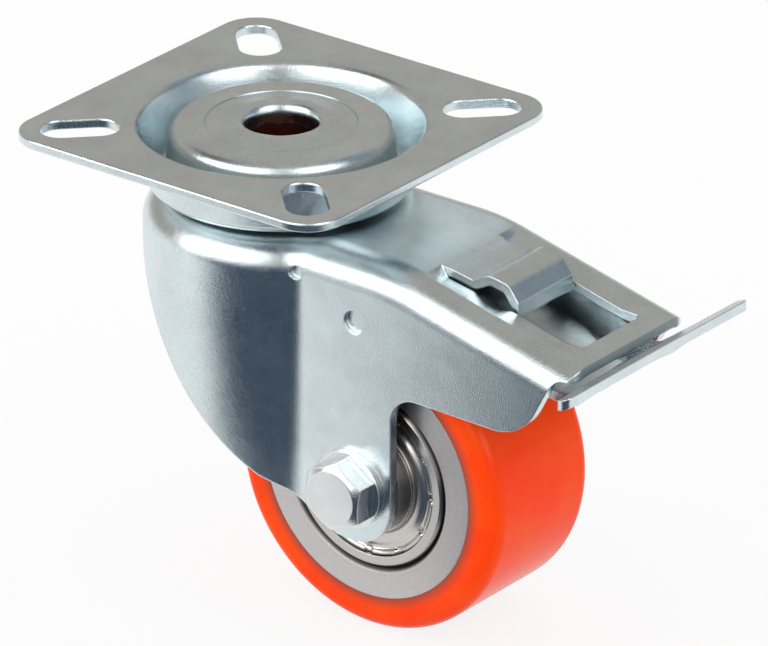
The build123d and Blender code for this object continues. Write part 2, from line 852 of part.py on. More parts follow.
def web_outline(x, top, crease, half_width, drop, thickness):
    """Cross-section of the lever's web: a flat middle with a wing sloping down on each side."""
    upper = [(-half_width, top - drop), (-crease, top), (crease, top), (half_width, top - drop)]
    return upper + [(y, z - thickness) for y, z in reversed(upper)]


# The web's slope between its back fold and the first wing station carries the shoe
wing_start = web_stations[0]
web_slope = (lever_back_rise + wing_start[1]) / (wing_start[0] - lever_back_from_axle)
web_tilt = atan(web_slope)


def web_top(x):
    """Height of the web's upper face where it carries the shoe."""
    return web_back[1] - web_slope * (x - web_back[0])


rivet_x = axle_x + rivet_from_axle
rivet_grip = lever_sheet * cos(web_tilt) + shoe_sheet
rivet_plane = Plane(
    origin=(rivet_x, 0, web_top(rivet_x)),
    x_dir=(0, 1, 0),
    z_dir=(sin(web_tilt), 0, cos(web_tilt)),
)

lever_sections = [
    (*web_front, lever_front_half_width - lever_front_crease, lever_front_half_width, web_crown, lever_sheet),
    (*web_back, lever_side - lever_back_crease, lever_side, web_crown, lever_sheet),
]
for reach, fall, crease, half_width, drop in web_stations:
    sheet = pedal_sheet if half_width > lever_side else lever_sheet
    lever_sections.append((axle_x + reach, pivot_z - fall, crease, half_width, drop, sheet))

with BuildPart() as brake_lever:
    for x, top, crease, half_width, drop, sheet in lever_sections:
        with BuildSketch(Plane.YZ.offset(x)):
            Polygon(*web_outline(x, top, crease, half_width, drop, sheet), align=None)
    loft(ruled=True)
    ear_top = web_back[1] - lever_sheet / 2
    for side in (-1, 1):
        ear_plane = Plane(
            origin=(pivot_x, side * lever_side, pivot_z), x_dir=(1, 0, 0), z_dir=(0, -side, 0)
        )
        flip = 1 if ear_plane.y_dir.Z > 0 else -1
        with BuildSketch(ear_plane):
            with BuildLine():
                Polyline(
                    (lever_ear_front, flip * (ear_top - pivot_z)),
                    (lever_ear_back, flip * (ear_top - pivot_z - lever_ear_back_drop)),
                    (lever_ear_radius, -flip * lever_ear_radius),
                    (-lever_ear_radius, -flip * lever_ear_radius),
                    close=True,
                )
            make_face()
            Circle(pivot_radius + pivot_fit, mode=Mode.SUBTRACT)
        extrude(amount=lever_ear_wall)
    tongue_tip_x = axle_x + tongue_tip_from_axle
    tongue_top = pivot_z + tongue_rise
    with BuildSketch(swivel_section):
        Polygon(
            (tongue_tip_x, tongue_top),
            (web_front[0] + lever_sheet, web_front[1]),
            (web_front[0] + lever_sheet, web_front[1] - lever_sheet),
            (tongue_tip_x, tongue_top - lever_sheet),
            align=None,
        )
    extrude(amount=tongue_width / 2, both=True)
    pedal_corners = brake_lever.edges().filter_by(Axis.Z).group_by(Axis.X)[-1]
    fillet(pedal_corners, radius=pedal_corner_radius)
    with BuildSketch(rivet_plane):
        with GridLocations(rivet_spacing, 1, 2, 1):
            Circle(rivet_radius)
    extrude(amount=-2 * lever_sheet, mode=Mode.SUBTRACT)

finish(brake_lever.part, "brake_lever")

# Brake shoe: a strip riveted under the web, with a curved foot that fits the tread when the
# lever is pressed down, so its curve is centred on the axle turned back by the lever's swing
pivot_axis = Axis((pivot_x, 0, pivot_z), (0, 1, 0))
shoe_centre = Vector(axle_x, 0, axle_z).rotate(pivot_axis, -brake_swing)
shoe_inside = wheel_diameter / 2 + shoe_tread_gap
shoe_outside = shoe_inside + shoe_sheet
shoe_middle = (shoe_inside + shoe_outside) / 2
shoe_stem_angle = radians(shoe_start_angle + shoe_stem_lap)
shoe_stem_foot = (
    shoe_centre.X + shoe_middle * sin(shoe_stem_angle),
    shoe_centre.Z + shoe_middle * cos(shoe_stem_angle),
)
shoe_path = [
    (axle_x + shoe_flange_front, web_top(axle_x + shoe_flange_front) - lever_sheet),
    (axle_x + shoe_flange_back, web_top(axle_x + shoe_flange_back) - lever_sheet),
    shoe_stem_foot,
]
shoe_rays = [
    (
        shoe_centre.X + 2 * shoe_outside * sin(radians(angle)),
        shoe_centre.Z + 2 * shoe_outside * cos(radians(angle)),
    )
    for angle in (shoe_start_angle, shoe_end_angle)
]
with BuildPart() as brake_shoe:
    with BuildSketch(swivel_section):
        with Locations((shoe_centre.X, shoe_centre.Z)):
            Circle(shoe_outside)
            Circle(shoe_inside, mode=Mode.SUBTRACT)
        Polygon((shoe_centre.X, shoe_centre.Z), *shoe_rays, align=None, mode=Mode.INTERSECT)
        SheetSection(shoe_path, shoe_sheet, [shoe_bend_radius])
    extrude(amount=shoe_width / 2, both=True)
    with BuildSketch(rivet_plane):
        with GridLocations(rivet_spacing, 1, 2, 1):
            Circle(rivet_radius)
    extrude(amount=-3 * lever_sheet, mode=Mode.SUBTRACT)

finish(brake_shoe.part, "brake_shoe")

with BuildPart() as shoe_rivets:
    with BuildSketch(rivet_plane):
        with GridLocations(rivet_spacing, 1, 2, 1):
            Circle(rivet_head_radius)
    extrude(amount=rivet_head_height)
    with BuildSketch(rivet_plane):
        with GridLocations(rivet_spacing, 1, 2, 1):
            Circle(rivet_radius)
    extrude(amount=-rivet_grip)
    with BuildSketch(rivet_plane.offset(-rivet_grip)):
        with GridLocations(rivet_spacing, 1, 2, 1):
            Circle(rivet_head_radius)
    extrude(amount=-rivet_head_height)

finish(shoe_rivets.part, "shoe_rivets")
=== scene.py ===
from math import cos, pi, radians, sin, tan, tau

import bpy
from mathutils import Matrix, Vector


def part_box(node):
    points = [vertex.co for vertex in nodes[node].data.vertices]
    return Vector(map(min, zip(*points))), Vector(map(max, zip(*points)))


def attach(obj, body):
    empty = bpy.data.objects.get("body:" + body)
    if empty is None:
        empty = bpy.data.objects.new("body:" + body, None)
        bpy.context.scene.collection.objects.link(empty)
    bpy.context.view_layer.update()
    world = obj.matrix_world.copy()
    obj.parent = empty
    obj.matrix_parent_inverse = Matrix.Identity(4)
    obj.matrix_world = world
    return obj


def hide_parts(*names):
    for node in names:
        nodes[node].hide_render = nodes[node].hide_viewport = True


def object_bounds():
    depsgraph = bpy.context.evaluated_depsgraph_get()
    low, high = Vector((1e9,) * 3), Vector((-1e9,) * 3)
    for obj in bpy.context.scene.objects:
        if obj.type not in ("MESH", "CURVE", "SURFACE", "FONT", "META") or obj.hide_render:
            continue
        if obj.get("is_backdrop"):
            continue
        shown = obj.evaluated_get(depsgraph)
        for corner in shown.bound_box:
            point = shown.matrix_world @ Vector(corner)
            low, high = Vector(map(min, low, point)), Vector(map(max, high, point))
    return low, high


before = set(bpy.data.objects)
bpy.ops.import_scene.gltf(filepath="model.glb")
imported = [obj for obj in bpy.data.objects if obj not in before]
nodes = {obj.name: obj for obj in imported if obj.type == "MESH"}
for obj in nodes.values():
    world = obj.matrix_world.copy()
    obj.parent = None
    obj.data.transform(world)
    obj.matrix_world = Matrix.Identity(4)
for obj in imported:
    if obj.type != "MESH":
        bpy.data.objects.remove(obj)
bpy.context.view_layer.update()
print("Pieces in the frame:", len(nodes))

# %% [markdown]
# Every place below is worked out from the frame. The axle is found from the wheel's own box, and
# the bearings' faces are flush with the wheel's sides. One millimetre is named, so that sizes can be
# written as a maker would say them.
# %% Places that several pieces share
MM = 0.001
tyre_low, tyre_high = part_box("tyre")
axle = (tyre_low + tyre_high) / 2
wheel_radius = (tyre_high.z - tyre_low.z) / 2
floor_height = tyre_low.z
ring_low, ring_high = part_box("outer_ring_left")
bearing_radius = (ring_high.z - ring_low.z) / 2
bearing_face = tyre_high.y
print("Axle at", [round(v / MM, 2) for v in axle], "mm, floor at", round(floor_height / MM, 2), "mm")

# %% [markdown]
# Materials are small networks of nodes. A few helpers keep them readable: one makes a node and joins
# or sets its inputs in a single call, and others start and finish a node group with named inputs and
# outputs. A group is worth making when an effect, such as the grain of rolled steel, is used by
# several materials: each then sets its own strength and size in the group's inputs.
# %% Helpers for nodes
def put(tree, kind, inputs=None, **settings):
    """Adds a node, with constants or other nodes' sockets on its inputs."""
    made = tree.nodes.new(kind)
    for name, value in settings.items():
        setattr(made, name, value)
    for name, value in (inputs or {}).items():
        if isinstance(value, bpy.types.NodeSocket):
            tree.links.new(value, made.inputs[name])
        else:
            made.inputs[name].default_value = value
    return made


def join(tree, target, sockets):
    """Joins sockets to a node's named inputs."""
    for label, socket in sockets.items():
        tree.links.new(socket, target.inputs[label])


def start_group(name, inputs, outputs):
    """Starts a shader node group: returns its tree, its input sockets and its output node."""
    tree = bpy.data.node_groups.new(name, "ShaderNodeTree")
    for label, (kind, value) in inputs.items():
        socket = tree.interface.new_socket(label, in_out="INPUT", socket_type=kind)
        if value is not None:
            socket.default_value = value
    for label, kind in outputs.items():
        tree.interface.new_socket(label, in_out="OUTPUT", socket_type=kind)
    return tree, tree.nodes.new("NodeGroupInput").outputs, tree.nodes.new("NodeGroupOutput")


def finish_group(tree, group_output, results):
    """Joins the results to the group's outputs."""
    join(tree, group_output, results)
    print("Group:", tree.name)
    return tree


print("Helpers for nodes: put, join, start_group, finish_group")

# %% [markdown]
# The same few steps come back in every network: a sum, a change of range, a mix of two colours, a
# noise. Each gets a helper that hands back the one output that matters. The textures below are
# worked out in millimetres, so that their scales can be read as features per millimetre.
# %% Helpers for values and colours
def maths(tree, operation, *values):
    """One Math node, whose inputs are numbers or sockets."""
    return put(tree, "ShaderNodeMath", dict(enumerate(values)), operation=operation).outputs[0]


def spread(tree, value, low, high, to_low=0.0, to_high=1.0):
    """Maps a value from one range to another, clamped."""
    inputs = {"Value": value, "From Min": low, "From Max": high, "To Min": to_low, "To Max": to_high}
    return put(tree, "ShaderNodeMapRange", inputs).outputs[0]


def vector_maths(tree, operation, first, second):
    """One Vector Math node of two vectors."""
    inputs = {0: first, 1: second}
    return put(tree, "ShaderNodeVectorMath", inputs, operation=operation).outputs[0]


def in_millimetres(tree, vector):
    """Turns a place in metres into one in millimetres."""
    inputs = {0: vector, "Scale": 1 / MM}
    return put(tree, "ShaderNodeVectorMath", inputs, operation="SCALE").outputs[0]


def noise(tree, vector, scale, detail, roughness):
    """Noise with so many features to one unit of the vector."""
    inputs = {"Vector": vector, "Scale": scale, "Detail": detail, "Roughness": roughness}
    return put(tree, "ShaderNodeTexNoise", inputs).outputs[0]


def blend_colour(tree, factor, first, second):
    """Mixes two colours by a factor."""
    factor_input, first_input, second_input, colour_output = 0, 6, 7, 2
    mix = put(tree, "ShaderNodeMix", data_type="RGBA")
    for index, value in ((factor_input, factor), (first_input, first), (second_input, second)):
        if isinstance(value, bpy.types.NodeSocket):
            tree.links.new(value, mix.inputs[index])
        elif index == factor_input:
            mix.inputs[index].default_value = value
        else:
            mix.inputs[index].default_value = (*value, 1.0)
    return mix.outputs[colour_output]


def shade_of(tint, factor, lift=0.0):
    """A darker or lighter shade of a tint."""
    return tuple(min(1.0, channel * factor + lift) for channel in tint)


print("Helpers for values: maths, spread, vector_maths, in_millimetres, noise")
print("Helpers for colours: blend_colour, shade_of")

# %% [markdown]
# Zinc is plated on bare rolled steel, so two scales show in it. Up close there is a fine speckle of
# crystals, each of which tips the surface a little and glints in the dark parts of a reflection.
# Over centimetres the plating is cloudy. Both are noise at two sizes, put out as plain masks, so
# that a material decides what each one does to its colour, its roughness or its bump. Noise stays
# near its middle value, so the band that it fills is spread to the whole range from 0 to 1.
# %% Group: plating grain
def build_plating_grain():
    tree, given, result = start_group(
        "Plating grain",
        {
            "Vector": ("NodeSocketVector", None),
            "Speckle per mm": ("NodeSocketFloat", 3.2),
            "Cloud per mm": ("NodeSocketFloat", 0.06),
        },
        {"Speckle": "NodeSocketFloat", "Cloud": "NodeSocketFloat"},
    )
    in_mm = in_millimetres(tree, given["Vector"])
    speckle = noise(tree, in_mm, given["Speckle per mm"], detail=2.0, roughness=0.7)
    cloud = noise(tree, in_mm, given["Cloud per mm"], detail=4.0, roughness=0.6)
    masks = {"Speckle": spread(tree, speckle, 0.3, 0.7), "Cloud": spread(tree, cloud, 0.35, 0.65)}
    return finish_group(tree, result, masks)


plating_grain = build_plating_grain()

# %% [markdown]
# Handling leaves hairline scratches. They are drawn as noise that is stretched thirty to fifty times
# one way, with only its highest crests kept. Two sets at different angles stop them looking combed.
# %% Group: hairline scratches
scratch_sets = (((0.4, 0.2, 0.7), 0.02), ((1.1, 0.9, -0.5), 0.035))
crest_level = 0.86
crest_reach = 0.3


def build_scratches():
    tree, given, result = start_group(
        "Hairline scratches",
        {
            "Vector": ("NodeSocketVector", None),
            "Lines per mm": ("NodeSocketFloat", 2.5),
            "Share": ("NodeSocketFloat", 0.25),
        },
        {"Scratch": "NodeSocketFloat"},
    )
    in_mm = in_millimetres(tree, given["Vector"])
    sets = []
    for turn, stretch in scratch_sets:
        laid_inputs = {"Vector": in_mm, "Rotation": turn, "Scale": (1.0, stretch, 1.0)}
        laid = put(tree, "ShaderNodeMapping", laid_inputs).outputs[0]
        lines = noise(tree, laid, given["Lines per mm"], detail=1.0, roughness=0.4)
        reach = maths(tree, "MULTIPLY", given["Share"], crest_reach)
        lowest = maths(tree, "SUBTRACT", crest_level, reach)
        sets.append(spread(tree, lines, lowest, crest_level))
    return finish_group(tree, result, {"Scratch": maths(tree, "MAXIMUM", *sets)})


scratches = build_scratches()

# %% [markdown]
# Edges of a pressed part lose their plating first and polish bright. The Bevel node gives the
# normal that a rounded edge would have. Where that differs from the true normal there is an edge,
# so one minus their dot product is a mask of all sharp edges, whatever the mesh looks like. The
# rounded normal is put out too: a cut edge then catches the light in a thin line, as real ones do.
# %% Group: edge wear
def build_edge_wear():
    tree, given, result = start_group(
        "Edge wear",
        {"Radius": ("NodeSocketFloat", 0.5 * MM), "Amount": ("NodeSocketFloat", 0.6)},
        {"Edge": "NodeSocketFloat", "Normal": "NodeSocketVector"},
    )
    rounded = put(tree, "ShaderNodeBevel", {"Radius": given["Radius"]}, samples=6).outputs[0]
    true_normal = put(tree, "ShaderNodeNewGeometry").outputs["Normal"]
    both = {0: rounded, 1: true_normal}
    likeness = put(tree, "ShaderNodeVectorMath", both, operation="DOT_PRODUCT").outputs["Value"]
    corner = maths(tree, "SUBTRACT", 1.0, likeness)
    edge = maths(tree, "MULTIPLY", spread(tree, corner, 0.02, 0.25), given["Amount"])
    return finish_group(tree, result, {"Edge": edge, "Normal": rounded})


edge_wear = build_edge_wear()

# %% [markdown]
# A turned or ground face carries fine rings round its axis. The distance from the axis drives a
# noise of one dimension, so that the rings come unevenly, as a tool leaves them. The same group
# serves the axle (rings round Y) and the kingpin (rings round Z): the input called Flatten drops
# the part of the vector along the axis. The distance, in millimetres, is put out as well.
# %% Group: turning marks
def build_turning_marks():
    tree, given, result = start_group(
        "Turning marks",
        {
            "Vector": ("NodeSocketVector", None),
            "Centre": ("NodeSocketVector", (0.0, 0.0, 0.0)),
            "Flatten": ("NodeSocketVector", (1.0, 0.0, 1.0)),
            "Rings per mm": ("NodeSocketFloat", 3.0),
        },
        {"Ring": "NodeSocketFloat", "Distance": "NodeSocketFloat"},
    )
    offset = vector_maths(tree, "SUBTRACT", given["Vector"], given["Centre"])
    flat = vector_maths(tree, "MULTIPLY", offset, given["Flatten"])
    length = put(tree, "ShaderNodeVectorMath", {0: flat}, operation="LENGTH").outputs["Value"]
    distance = maths(tree, "MULTIPLY", length, 1 / MM)
    ring_count = maths(tree, "MULTIPLY", distance, given["Rings per mm"])
    line = {"W": ring_count, "Scale": 1.0, "Detail": 3.0}
    rings = put(tree, "ShaderNodeTexNoise", line, noise_dimensions="1D").outputs[0]
    return finish_group(tree, result, {"Ring": spread(tree, rings, 0.3, 0.7), "Distance": distance})


turning_marks = build_turning_marks()

# %% [markdown]
# A material starts with the Principled shader. Its plain numbers, such as metallic, are set on the
# shader's own sockets. A helper starts one and hands back what the recipes below need: the tree,
# the shader, and the object's own coordinates, which stay put when a piece moves. Another turns a
# height into the shader's normal, with the depth of the relief as its distance.
# %% Helpers for materials
def start_material(name, **constants):
    """Starts a material: returns it with its tree, its shader and its object coordinates."""
    material = bpy.data.materials.new(name)
    material.use_nodes = True
    tree = material.node_tree
    shader = tree.nodes["Principled BSDF"]
    for label, value in constants.items():
        shader.inputs[label.replace("_", " ")].default_value = value
    place = put(tree, "ShaderNodeTexCoord").outputs["Object"]
    print("Material:", name)
    return material, tree, shader, place


def use_group(tree, group, **inputs):
    """Places a node group, with its inputs set, and gives its outputs."""
    made = tree.nodes.new("ShaderNodeGroup")
    made.node_tree = group
    for name, value in inputs.items():
        label = name.replace("_", " ")
        if isinstance(value, bpy.types.NodeSocket):
            tree.links.new(value, made.inputs[label])
        else:
            made.inputs[label].default_value = value
    return made.outputs


def add_relief(tree, shader, height, strength, distance, **normal):
    """Bumps the shader's normal by a height, over a rounded normal where one is given."""
    inputs = {"Height": height, **normal, "Strength": strength, "Distance": distance}
    join(tree, shader, {"Normal": put(tree, "ShaderNodeBump", inputs).outputs[0]})


print("Helpers for materials: start_material, use_group, add_relief")

# %% [markdown]
# Zinc-plated sheet is the castor's main finish. It is a metal with a faintly blue tint. The cloud
# mask shifts its colour and its roughness, the speckle is a very low bump and a lighter fleck, and
# worn edges are brighter and smoother. One recipe makes all the plated pieces, with their own
# roughness, because a bolt comes from a barrel line and is coated differently from a pressed sheet.
# %% Material: zinc plating
scratch_roughness = 0.12
edge_polish = 0.1
scratch_share_of_relief = 0.3
zinc_relief = 0.03 * MM


def make_zinc(name, tint, roughness, speckle=0.5, scratch=0.25, wear=0.5):
    material, tree, shader, place = start_material(name, Metallic=1.0)
    grain = use_group(tree, plating_grain, Vector=place)
    hair = use_group(tree, scratches, Vector=place, Share=scratch)
    edge = use_group(tree, edge_wear, Amount=wear)
    dull, bright = shade_of(tint, 0.82), shade_of(tint, 1.3, 0.03)
    colour = blend_colour(tree, grain["Cloud"], dull, tint)
    colour = blend_colour(tree, maths(tree, "MULTIPLY", grain["Speckle"], speckle), colour, bright)
    colour = blend_colour(tree, edge["Edge"], colour, bright)
    rough = spread(tree, grain["Cloud"], 0.0, 1.0, roughness * 0.85, roughness * 1.15)
    dragged = maths(tree, "MULTIPLY", hair["Scratch"], scratch_roughness)
    polished = maths(tree, "MULTIPLY", edge["Edge"], edge_polish)
    rough = maths(tree, "SUBTRACT", maths(tree, "ADD", rough, dragged), polished)
    join(tree, shader, {"Base Color": colour, "Roughness": rough})
    crystals = maths(tree, "MULTIPLY", grain["Speckle"], speckle * 2)
    grooves = maths(tree, "MULTIPLY", hair["Scratch"], scratch_share_of_relief)
    height = maths(tree, "SUBTRACT", crystals, grooves)
    add_relief(tree, shader, height, strength=0.8, distance=zinc_relief, Normal=edge["Normal"])
    return material


zinc_sheet = make_zinc("Zinc-plated sheet", (0.66, 0.735, 0.76), 0.16)
zinc_bolt = make_zinc("Zinc-plated bolt", (0.74, 0.77, 0.78), 0.18, speckle=0.3, wear=0.7)

# %% [markdown]
# The kingpin is plated like the sheet, but grease from the balls has crept up into its open bore and
# dried to a reddish brown. The finish is the same recipe again, with one more mask: it is one inside
# the bore's radius and below its lip, and a noise frays its edge.
# %% Material: kingpin with dried grease
kingpin_bore_radius = 9.0
grease_line = -3.0 * MM
grease_fade = 1.5 * MM
grease_fray = 2.0 * MM
grease_roughness = 0.2
grease_brown = (0.16, 0.055, 0.035)


def make_greased(name, base):
    material = base.copy()
    material.name = name
    tree = material.node_tree
    shader = tree.nodes["Principled BSDF"]
    place = put(tree, "ShaderNodeTexCoord").outputs["Object"]
    marks = use_group(tree, turning_marks, Vector=place, Flatten=(1.0, 1.0, 0.0))
    grain = use_group(tree, plating_grain, Vector=place, Cloud_per_mm=0.35)
    wall, past_wall = kingpin_bore_radius + 0.2, kingpin_bore_radius + 0.9
    inside = spread(tree, marks["Distance"], wall, past_wall, 1.0, 0.0)
    height = put(tree, "ShaderNodeSeparateXYZ", {0: place}).outputs["Z"]
    frayed = maths(tree, "ADD", height, maths(tree, "MULTIPLY", grain["Cloud"], grease_fray))
    below = spread(tree, frayed, grease_line - grease_fade, grease_line, 1.0, 0.0)
    grease = maths(tree, "MULTIPLY", inside, below)
    plated = shader.inputs["Base Color"].links[0].from_socket
    smooth = shader.inputs["Roughness"].links[0].from_socket
    colour = blend_colour(tree, grease, plated, grease_brown)
    rough = maths(tree, "ADD", smooth, maths(tree, "MULTIPLY", grease, grease_roughness))
    join(tree, shader, {"Base Color": colour, "Roughness": rough})
    print("Material:", name)
    return material


kingpin_finish = make_greased("Zinc-plated kingpin", zinc_sheet)

# %% [markdown]
# Turned and ground steel differ from plating in two ways: they are warmer, because nothing covers
# the iron, and their roughness runs in rings. The hub's face, the bearing rings and the bushes all
# come from this recipe, each with its own colour, roughness and number of rings. Where the outer
# ring is pressed into the hub there is a small groove, and the shade in it is painted near black into
# the colour.
# %% Material: turned steel
groove_half_width = 0.35
groove_fade_out = 1.0
# Painted shade in the groove: how much of the colour it covers, and its near-black colour.
groove_shade_cover = 0.93
groove_shade_black = (0.03, 0.025, 0.02)


def make_turned(name, tint, roughness, rings=3.0, ring_depth=0.5, scratch=0.2):
    material, tree, shader, place = start_material(name, Metallic=1.0)
    marks = use_group(tree, turning_marks, Vector=place, Centre=tuple(axle), Rings_per_mm=rings)
    hair = use_group(tree, scratches, Vector=place, Share=scratch)
    edge = use_group(tree, edge_wear, Radius=0.3 * MM, Amount=0.5)
    dark, light = shade_of(tint, 0.8), shade_of(tint, 1.2, 0.02)
    colour = blend_colour(tree, marks["Ring"], dark, tint)
    colour = blend_colour(tree, maths(tree, "MULTIPLY", hair["Scratch"], scratch), colour, light)
    colour = blend_colour(tree, edge["Edge"], colour, light)
    # Painted shade: the colour goes nearly black in a thin ring where the outer ring sits in the hub.
    from_seat = maths(tree, "SUBTRACT", marks["Distance"], bearing_radius / MM)
    from_seat = maths(tree, "ABSOLUTE", from_seat)
    groove_shade = spread(tree, from_seat, groove_half_width, groove_fade_out, groove_shade_cover, 0.0)
    colour = blend_colour(tree, groove_shade, colour, groove_shade_black)
    rough = spread(tree, marks["Ring"], 0.0, 1.0, roughness * 0.8, roughness * 1.2)
    join(tree, shader, {"Base Color": colour, "Roughness": rough})
    height = maths(tree, "MULTIPLY", marks["Ring"], ring_depth)
    height = maths(tree, "SUBTRACT", height, hair["Scratch"])
    add_relief(tree, shader, height, strength=0.3, distance=0.02 * MM, Normal=edge["Normal"])
    return material


hub_steel = make_turned(
    "Ground hub steel", (0.60, 0.575, 0.57), 0.42, rings=6.0, ring_depth=0.15, scratch=0.9
)
bearing_steel = make_turned("Bearing steel", (0.60, 0.59, 0.58), 0.25)
shield_steel = make_turned("Shield steel", (0.68, 0.65, 0.62), 0.24, rings=4.0, ring_depth=0.08)
bush_steel = make_turned("Turned bush steel", (0.30, 0.28, 0.26), 0.38, rings=2.0)
cage_steel = make_turned("Cage steel", (0.5, 0.48, 0.44), 0.4)

# %% [markdown]
# The tyre is cast polyurethane: a strong orange with a smooth skin. It lets a little light in, which
# softens its shading, so a small share of subsurface scattering is set on the shader. A broad, faint
# noise keeps the gloss from looking like paint. Along the hub the shade beside the steel is painted
# as a brown ring, which is drawn by a mask of the distance from the axle.
# %% Material: polyurethane tyre
# The ring of painted shade beside the hub: where it starts and ends, in millimetres in from the rim,
# how much it covers, and its colour.
hub_shade_start, hub_shade_end = 8.9, 5.8
hub_shade_cover = 0.85
hub_shade_brown = (0.17, 0.075, 0.055)


def make_polyurethane(name):
    material, tree, shader, place = start_material(
        name,
        Roughness=0.22,
        Specular_IOR_Level=0.14,
        Subsurface_Weight=0.1,
        Subsurface_Scale=2 * MM,
        Subsurface_Radius=(1.0, 0.25, 0.05),
    )
    grain = use_group(tree, plating_grain, Vector=place, Speckle_per_mm=0.6, Cloud_per_mm=0.08)
    marks = use_group(tree, turning_marks, Vector=place, Centre=tuple(axle), Rings_per_mm=0.8)
    rim = wheel_radius / MM
    orange = blend_colour(tree, grain["Cloud"], (1.0, 0.05, 0.0), (1.0, 0.075, 0.001))
    # Painted shade: a brown ring on the orange next to the hub, darkest nearest the hub.
    hub_shade = spread(tree, marks["Distance"], rim - hub_shade_start, rim - hub_shade_end, hub_shade_cover, 0.0)
    join(tree, shader, {"Base Color": blend_colour(tree, hub_shade, orange, hub_shade_brown)})
    ripple = maths(tree, "MULTIPLY", grain["Speckle"], 0.15)
    height = maths(tree, "ADD", grain["Cloud"], ripple)
    add_relief(tree, shader, height, strength=0.12, distance=0.1 * MM)
    return material


polyurethane = make_polyurethane("Orange polyurethane")

# %% [markdown]
# Two small pieces hide at the back: the nylon insert that keeps the lock nut from turning, and the
# blued spring strip of the brake shoe. Both take the plating's cloud and speckle at a low strength.
# %% Materials: nylon and spring steel
def make_plain(name, tint, roughness, metallic):
    material, tree, shader, place = start_material(name, Metallic=metallic)
    grain = use_group(tree, plating_grain, Vector=place)
    colour = blend_colour(tree, grain["Cloud"], shade_of(tint, 0.75), tint)
    rough = spread(tree, grain["Speckle"], 0.0, 1.0, roughness * 0.9, roughness * 1.15)
    join(tree, shader, {"Base Color": colour, "Roughness": rough})
    add_relief(tree, shader, grain["Speckle"], strength=0.2, distance=0.02 * MM)
    return material


nylon = make_plain("Nylon insert", (0.55, 0.6, 0.68), 0.45, 0.0)
spring_steel = make_plain("Blued spring steel", (0.22, 0.23, 0.26), 0.35, 1.0)

# %% [markdown]
# Each piece of the frame keeps its mesh and gets its finish in its material slots. The pieces are
# listed by finish, and those of the two bearings by their name without the side.
# %% Give every piece its finish
pieces_by_finish = (
    (zinc_sheet, ("top_plate", "lower_race", "lock_ring", "fork", "brake_lever")),
    (kingpin_finish, ("kingpin",)),
    (zinc_bolt, ("axle_bolt", "washer_left", "washer_right", "lock_nut", "shoe_rivets")),
    (bearing_steel, ("upper_balls", "lower_balls")),
    (bush_steel, ("axle_tube", "ring_spacer", "bush_left", "bush_right")),
    (hub_steel, ("hub",)),
    (polyurethane, ("tyre",)),
    (nylon, ("nut_insert",)),
    (spring_steel, ("brake_shoe",)),
)
paired_pieces_by_finish = (
    (bearing_steel, ("inner_ring", "outer_ring", "bearing_balls")),
    (cage_steel, ("ball_cage",)),
    (shield_steel, ("shields",)),
)
finishes = {name: finish for finish, names in pieces_by_finish for name in names}
for side_name in ("left", "right"):
    for finish, names in paired_pieces_by_finish:
        finishes.update({f"{name}_{side_name}": finish for name in names})
for name, node in nodes.items():
    node.data.materials.clear()
    node.data.materials.append(finishes[name])
print("Finished pieces:", len(finishes))

# %% [markdown]
# New pieces are meshes made from points and faces. One helper turns those into an object with its
# finish and puts it in the scene.
# %% Helper for meshes
def make_object(name, points, faces, material):
    """A mesh object from its points and faces."""
    mesh = bpy.data.meshes.new(name)
    mesh.from_pydata(points, [], faces)
    mesh.materials.append(material)
    made = bpy.data.objects.new(name, mesh)
    bpy.context.scene.collection.objects.link(made)
    print("Mesh:", name, len(faces), "faces")
    return made


print("Helper for meshes: make_object")

# %% [markdown]
# Each bearing is closed by a shield: a thin steel ring, dished so that its middle stands out, with a
# rolled bead that is crimped into a groove of the outer ring. The crimping tool leaves a row of small
# notches in the bead. A shield is a turned shape, so its section is written once, as distances from
# the axle and depths under the bearing's face, and turned in many small steps. The notches are made
# on the way round, by pressing the bead in where a tooth of the tool has been.
# %% Bearing shields
shield_section = [
    (13.7, 1.5), (13.7, 0.75), (14.1, 0.5), (15.2, 0.42), (16.3, 0.5), (17.1, 0.8), (17.7, 1.25),
    (18.4, 1.3), (18.9, 0.95), (19.2, 0.62), (19.6, 0.48), (20.0, 0.58), (20.2, 0.9), (20.2, 1.5),
]
bead_start = 18.7
bead_underside = 1.4
notch_count = 12
notch_half_angle = 2.6
notch_depth = 0.55
turn_steps = 288


def shield_row(angle, side):
    """The section's points at one angle, in degrees, pressed in if a notch is there."""
    pitch = 360 / notch_count
    from_notch = abs((angle + pitch / 2) % pitch - pitch / 2)
    pressed = notch_depth if from_notch < notch_half_angle else 0.0
    row = []
    for radius, depth in shield_section:
        sunk = depth + (pressed if radius > bead_start and depth < bead_underside else 0.0)
        turned = Vector((radius * cos(radians(angle)), 0.0, radius * sin(radians(angle))))
        row.append(axle + turned * MM + Vector((0.0, side * (bearing_face - sunk * MM), 0.0)))
    return row


def make_shield(name, side):
    """Turns the shield's section round the axle; side is -1 on the left and 1 on the right."""
    points, faces = [], []
    width = len(shield_section)
    for step in range(turn_steps):
        points += shield_row(360 * step / turn_steps, side)
        near, far = step * width, (step + 1) % turn_steps * width
        for place in range(width):
            after = (place + 1) % width
            face = (near + place, near + after, far + after, far + place)
            faces.append(face if side < 0 else face[::-1])
    made = make_object(name, points, faces, shield_steel)
    made.data.shade_smooth()
    return made


for side_name, side in (("left", -1), ("right", 1)):
    shield = make_shield(f"crimped_shield_{side_name}", side)
    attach(shield, "wheel")
    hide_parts(f"shields_{side_name}")

